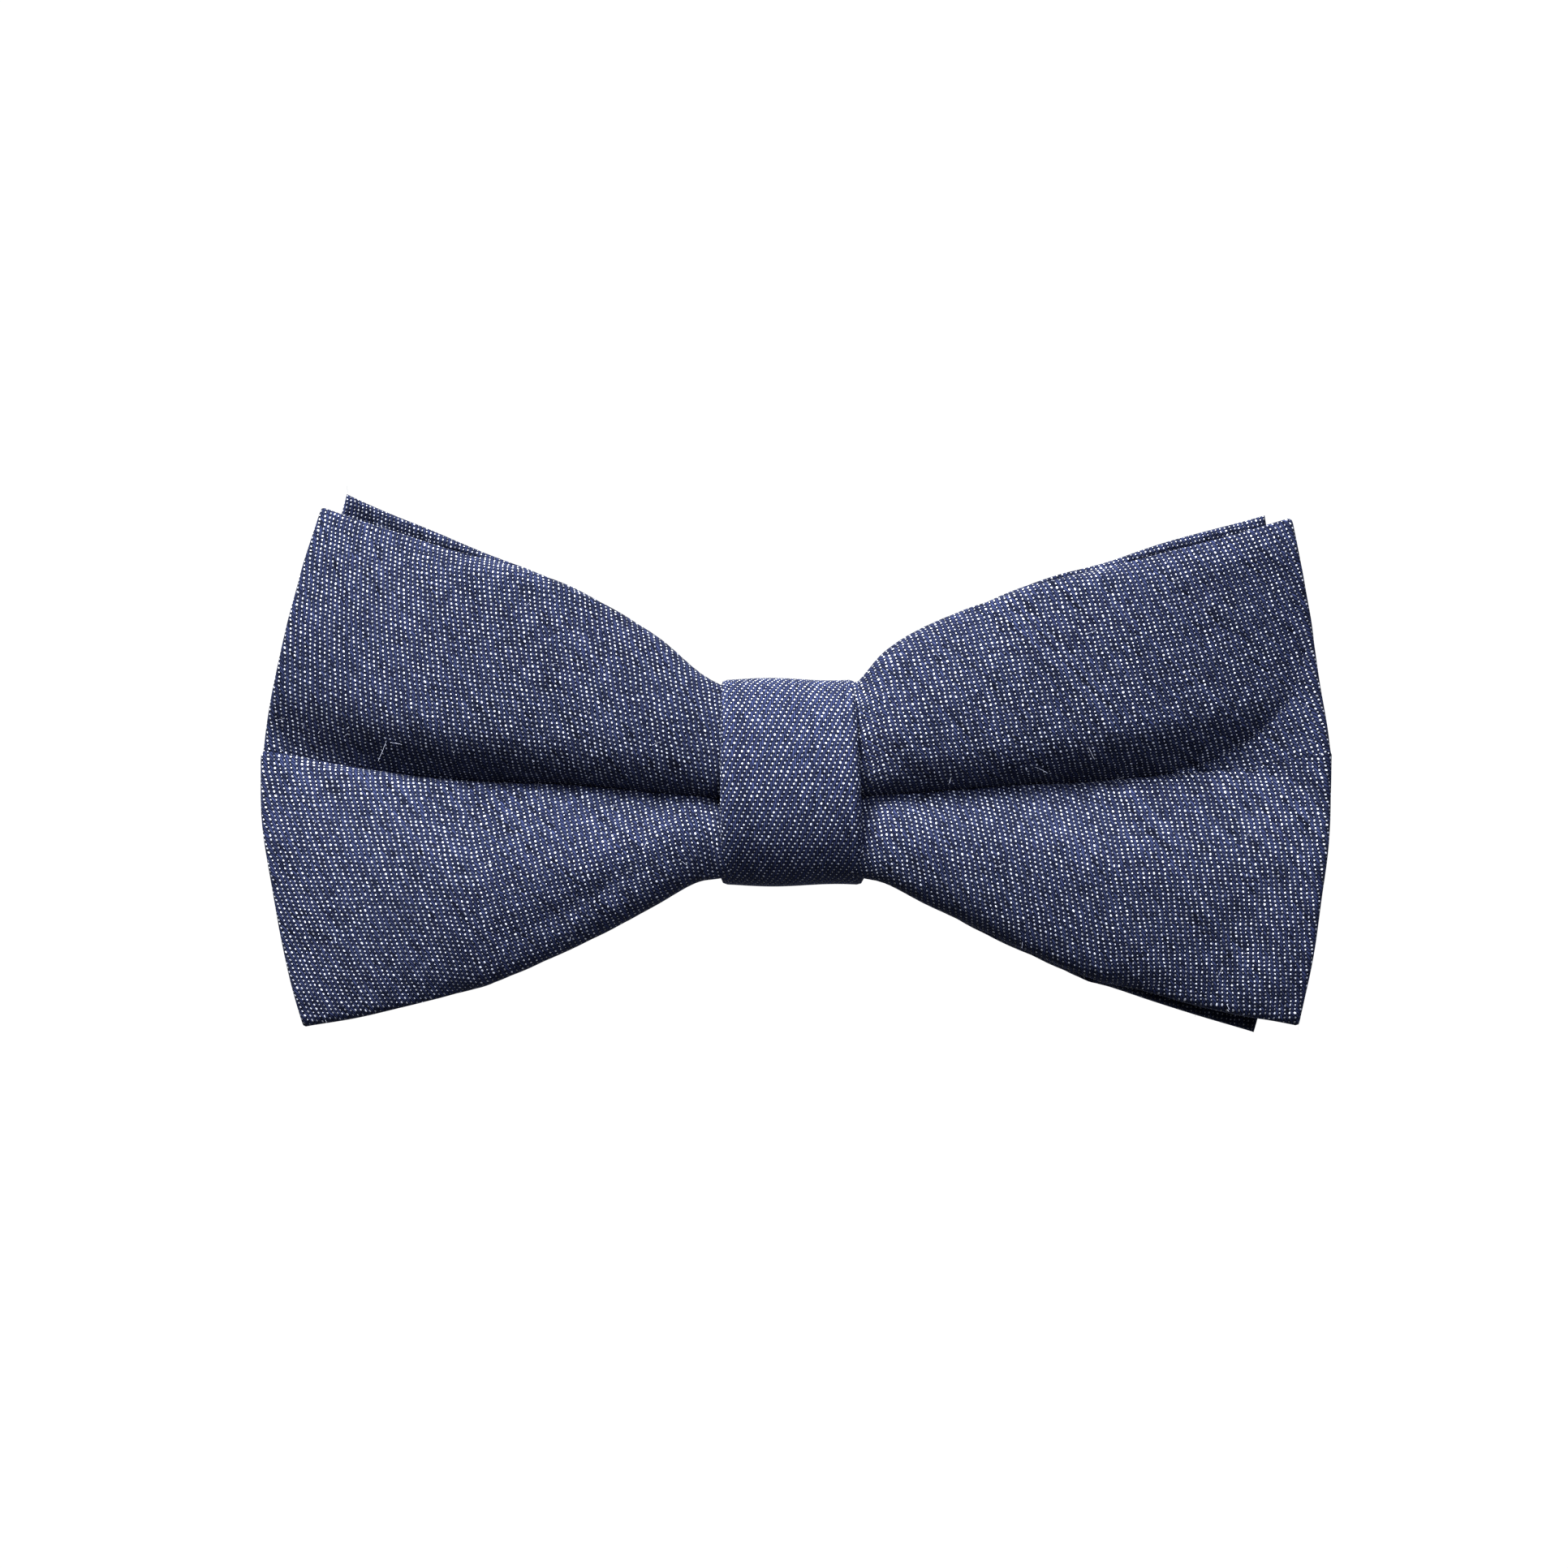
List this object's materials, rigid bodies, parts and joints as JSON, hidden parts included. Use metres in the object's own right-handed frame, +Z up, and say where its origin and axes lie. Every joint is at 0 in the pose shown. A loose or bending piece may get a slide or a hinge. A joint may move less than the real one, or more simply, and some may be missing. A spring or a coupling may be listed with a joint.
{
  "type": "clip-on bow tie",
  "caption": "Pre-tied clip-on bow tie: two pleated denim bow layers pinched by a wrapped knot, with a sprung collar clip behind.",
  "frame": {"origin": "middle of the clip's closed grip, where the collar edge is held", "axes": "+X along the bow, towards the right of a viewer in front; +Y from the front of the bow to its back, towards the wearer; +Z up as worn"},
  "size_m": [0.12, 0.0231, 0.0587],
  "materials": {
    "denim": "indigo and off-white twill cloth, matt",
    "knot_denim": "indigo and off-white twill cloth on straight grain, matt",
    "interlining": "non-woven stiffening sheet",
    "thread": "twisted polyester sewing thread",
    "plated_steel": "nickel plated, stamped",
    "pin_steel": "drawn and peened",
    "spring_steel": "drawn spring wire",
    "sleeve_rubber": "dipped, matt black"
  },
  "bodies": {
    "bow": {"front_bow": "denim", "back_bow": "denim", "front_interlining": "interlining", "back_interlining": "interlining", "waist_binding": "thread", "knot_wrap": "knot_denim", "knot_interlining": "interlining", "knot_stitches": "thread", "clip_base": "plated_steel", "clip_stitches": "thread", "hinge_pin": "pin_steel", "torsion_spring": "spring_steel"},
    "jaw": {"clip_jaw": "plated_steel", "left_grip_sleeve": "sleeve_rubber", "right_grip_sleeve": "sleeve_rubber"}
  },
  "joints": [
    {"name": "clip_jaw_hinge", "type": "hinge", "parent": "bow", "child": "jaw", "pos_m": [0, 0.0029, 0.009], "axis": [1, 0, 0], "range_deg": [0, 35], "stiffness_Nm_per_rad": 0.05, "springref_deg": -34.38, "deforming": ["torsion_spring"]}
  ]
}
